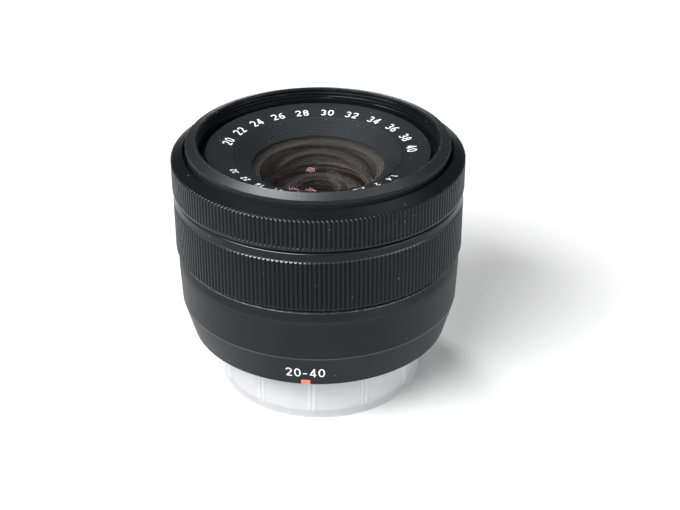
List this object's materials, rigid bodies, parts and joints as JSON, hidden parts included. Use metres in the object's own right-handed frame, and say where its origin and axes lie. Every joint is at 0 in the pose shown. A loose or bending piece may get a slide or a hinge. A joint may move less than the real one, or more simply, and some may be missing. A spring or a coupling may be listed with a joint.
{
  "type": "camera zoom lens",
  "caption": "Compact retractable camera zoom lens with a ribbed focus ring, a sprung zoom ring, telescoping barrels, iris, stabiliser, bayonet mount and push-on rear cap.",
  "frame": {"origin": "on the optical axis, in the plane of the mount flange", "axes": "+Z along the optical axis towards the front, -Y through the mounting index, collapsed"},
  "size_m": [0.0626, 0.0626, 0.0572],
  "materials": {
    "black_plastic": "fine satin texture",
    "cover_plastic": "fine satin texture",
    "mount_plastic": "smooth satin",
    "baffle_plastic": "stepped, matt",
    "inner_plastic": "matt",
    "blade_film": "matt film",
    "gear_plastic": "satin",
    "steel": "satin",
    "gold": "plated",
    "copper": "enamelled wire",
    "board": "solder mask",
    "sensor_film": "printed film",
    "glass": "coated",
    "cap_plastic": "translucent, smooth"
  },
  "bodies": {
    "lens_body": {"rear_cover": "cover_plastic", "mount_flange": "mount_plastic", "mount_screws": "steel", "contact_block": "inner_plastic", "contact_pins": "gold", "rear_baffle": "inner_plastic", "main_board": "board", "chassis": "inner_plastic", "fixed_barrel": "inner_plastic", "ring_spacer": "inner_plastic", "focus_clip": "steel", "focus_sensor": "inner_plastic", "zoom_sensor": "sensor_film", "zoom_spring": "steel", "zoom_motor": "steel", "focus_motor": "steel", "guide_rods": "steel", "rear_cell": "inner_plastic", "rear_element": "glass", "field_element": "glass"},
    "focus_ring_body": {"focus_ring": "black_plastic", "encoder_strip": "sensor_film"},
    "zoom_ring_body": {"zoom_ring": "black_plastic", "zoom_brush": "gold"},
    "cam_body": {"cam_barrel": "inner_plastic", "cam_gear": "gear_plastic"},
    "idler_body": {"idler_gear": "gear_plastic"},
    "pinion_body": {"motor_pinion": "gold"},
    "middle_body": {"middle_barrel": "black_plastic", "middle_pins": "steel"},
    "front_body": {"front_barrel": "black_plastic", "front_pins": "steel", "filter_ring": "black_plastic", "name_ring": "black_plastic", "front_baffle": "baffle_plastic", "front_cell": "inner_plastic", "front_element": "glass", "front_doublet": "glass"},
    "group_body": {"group_frame": "inner_plastic", "follower_pin": "steel", "iris_base": "inner_plastic", "iris_motor": "inner_plastic", "fourth_element": "glass", "shift_coils": "copper"},
    "iris_ring_body": {"iris_drive_ring": "inner_plastic"},
    "shift_x_body": {"shift_slider": "inner_plastic"},
    "shift_y_body": {"shift_cell": "inner_plastic", "shift_magnets": "steel", "shift_element": "glass"},
    "focus_body": {"focus_carriage": "inner_plastic", "focus_element": "glass"},
    "screw_body": {"lead_screw": "steel"},
    "cap_body": {"rear_cap": "cap_plastic"},
    "blade_1_body": {"iris_blade_1": "blade_film"},
    "blade_2_body": {"iris_blade_2": "blade_film"},
    "blade_3_body": {"iris_blade_3": "blade_film"},
    "blade_4_body": {"iris_blade_4": "blade_film"},
    "blade_5_body": {"iris_blade_5": "blade_film"},
    "blade_6_body": {"iris_blade_6": "blade_film"},
    "blade_7_body": {"iris_blade_7": "blade_film"}
  },
  "joints": [
    {"name": "focus_turn", "type": "hinge", "parent": "lens_body", "child": "focus_ring_body", "pos_m": [0, 0, 0.038], "axis": [0, 0, 1], "continuous": true},
    {"name": "zoom_turn", "type": "hinge", "parent": "lens_body", "child": "zoom_ring_body", "pos_m": [0, 0, 0.0264], "axis": [0, 0, 1], "range_deg": [-18, 18], "stiffness_Nm_per_rad": 0.05, "deforming": ["zoom_spring"]},
    {"name": "cam_turn", "type": "hinge", "parent": "lens_body", "child": "cam_body", "pos_m": [0, 0, 0.02], "axis": [0, 0, 1], "range_deg": [0, 100]},
    {"name": "idler_turn", "type": "hinge", "parent": "lens_body", "child": "idler_body", "pos_m": [0, 0.0186, 0.007], "axis": [0, 0, 1], "range_deg": [0, 565]},
    {"name": "pinion_turn", "type": "hinge", "parent": "lens_body", "child": "pinion_body", "pos_m": [-0.00589, 0.01743, 0.007], "axis": [0, 0, 1], "range_deg": [-1130, 0]},
    {"name": "middle_slide", "type": "slide", "parent": "lens_body", "child": "middle_body", "axis": [0, 0, 1], "range_m": [0, 0.0105]},
    {"name": "front_slide", "type": "slide", "parent": "middle_body", "child": "front_body", "axis": [0, 0, 1], "range_m": [0, 0.0105]},
    {"name": "group_slide", "type": "slide", "parent": "lens_body", "child": "group_body", "axis": [0, 0, 1], "range_m": [0, 0.006]},
    {"name": "iris_turn", "type": "hinge", "parent": "group_body", "child": "iris_ring_body", "pos_m": [0, 0, 0.0233], "axis": [0, 0, 1], "range_deg": [0, 4.1]},
    {"name": "blade_1_turn", "type": "hinge", "parent": "group_body", "child": "blade_1_body", "pos_m": [0.008, 0, 0.0222], "axis": [0, 0, 1], "range_deg": [0, 25]},
    {"name": "blade_2_turn", "type": "hinge", "parent": "group_body", "child": "blade_2_body", "pos_m": [0.00499, 0.00625, 0.0222], "axis": [0, 0, 1], "range_deg": [0, 25]},
    {"name": "blade_3_turn", "type": "hinge", "parent": "group_body", "child": "blade_3_body", "pos_m": [-0.00178, 0.0078, 0.0222], "axis": [0, 0, 1], "range_deg": [0, 25]},
    {"name": "blade_4_turn", "type": "hinge", "parent": "group_body", "child": "blade_4_body", "pos_m": [-0.00721, 0.00347, 0.0222], "axis": [0, 0, 1], "range_deg": [0, 25]},
    {"name": "blade_5_turn", "type": "hinge", "parent": "group_body", "child": "blade_5_body", "pos_m": [-0.00721, -0.00347, 0.0222], "axis": [0, 0, 1], "range_deg": [0, 25]},
    {"name": "blade_6_turn", "type": "hinge", "parent": "group_body", "child": "blade_6_body", "pos_m": [-0.00178, -0.0078, 0.0222], "axis": [0, 0, 1], "range_deg": [0, 25]},
    {"name": "blade_7_turn", "type": "hinge", "parent": "group_body", "child": "blade_7_body", "pos_m": [0.00499, -0.00625, 0.0222], "axis": [0, 0, 1], "range_deg": [0, 25]},
    {"name": "shift_x", "type": "slide", "parent": "group_body", "child": "shift_x_body", "axis": [1, 0, 0], "range_m": [-0.0006, 0.0006]},
    {"name": "shift_y", "type": "slide", "parent": "shift_x_body", "child": "shift_y_body", "axis": [0, 1, 0], "range_m": [-0.0006, 0.0006]},
    {"name": "focus_slide", "type": "slide", "parent": "lens_body", "child": "focus_body", "axis": [0, 0, 1], "range_m": [0, 0.003]},
    {"name": "screw_turn", "type": "hinge", "parent": "lens_body", "child": "screw_body", "pos_m": [-0.00915, -0.01585, 0.012], "axis": [0, 0, 1], "range_deg": [0, 1081]},
    {"name": "cap_pull", "type": "slide", "parent": "lens_body", "child": "cap_body", "axis": [0, 0, -1], "range_m": [0, 0.02]}
  ],
  "couplings": [
    {"joint": "idler_turn", "follows": "cam_turn", "ratio": 5.65},
    {"joint": "pinion_turn", "follows": "cam_turn", "ratio": -11.3},
    {"joint": "middle_slide", "follows": "cam_turn", "m_per_rad": 0.0060161},
    {"joint": "front_slide", "follows": "cam_turn", "m_per_rad": 0.0060161},
    {"joint": "group_slide", "follows": "cam_turn", "m_per_rad": 0.0034377},
    {"joint": "blade_1_turn", "follows": "iris_turn", "ratio": 6.07},
    {"joint": "blade_2_turn", "follows": "iris_turn", "ratio": 6.07},
    {"joint": "blade_3_turn", "follows": "iris_turn", "ratio": 6.07},
    {"joint": "blade_4_turn", "follows": "iris_turn", "ratio": 6.07},
    {"joint": "blade_5_turn", "follows": "iris_turn", "ratio": 6.07},
    {"joint": "blade_6_turn", "follows": "iris_turn", "ratio": 6.07},
    {"joint": "blade_7_turn", "follows": "iris_turn", "ratio": 6.07},
    {"joint": "screw_turn", "follows": "focus_slide", "rad_per_m": 6283.2}
  ]
}
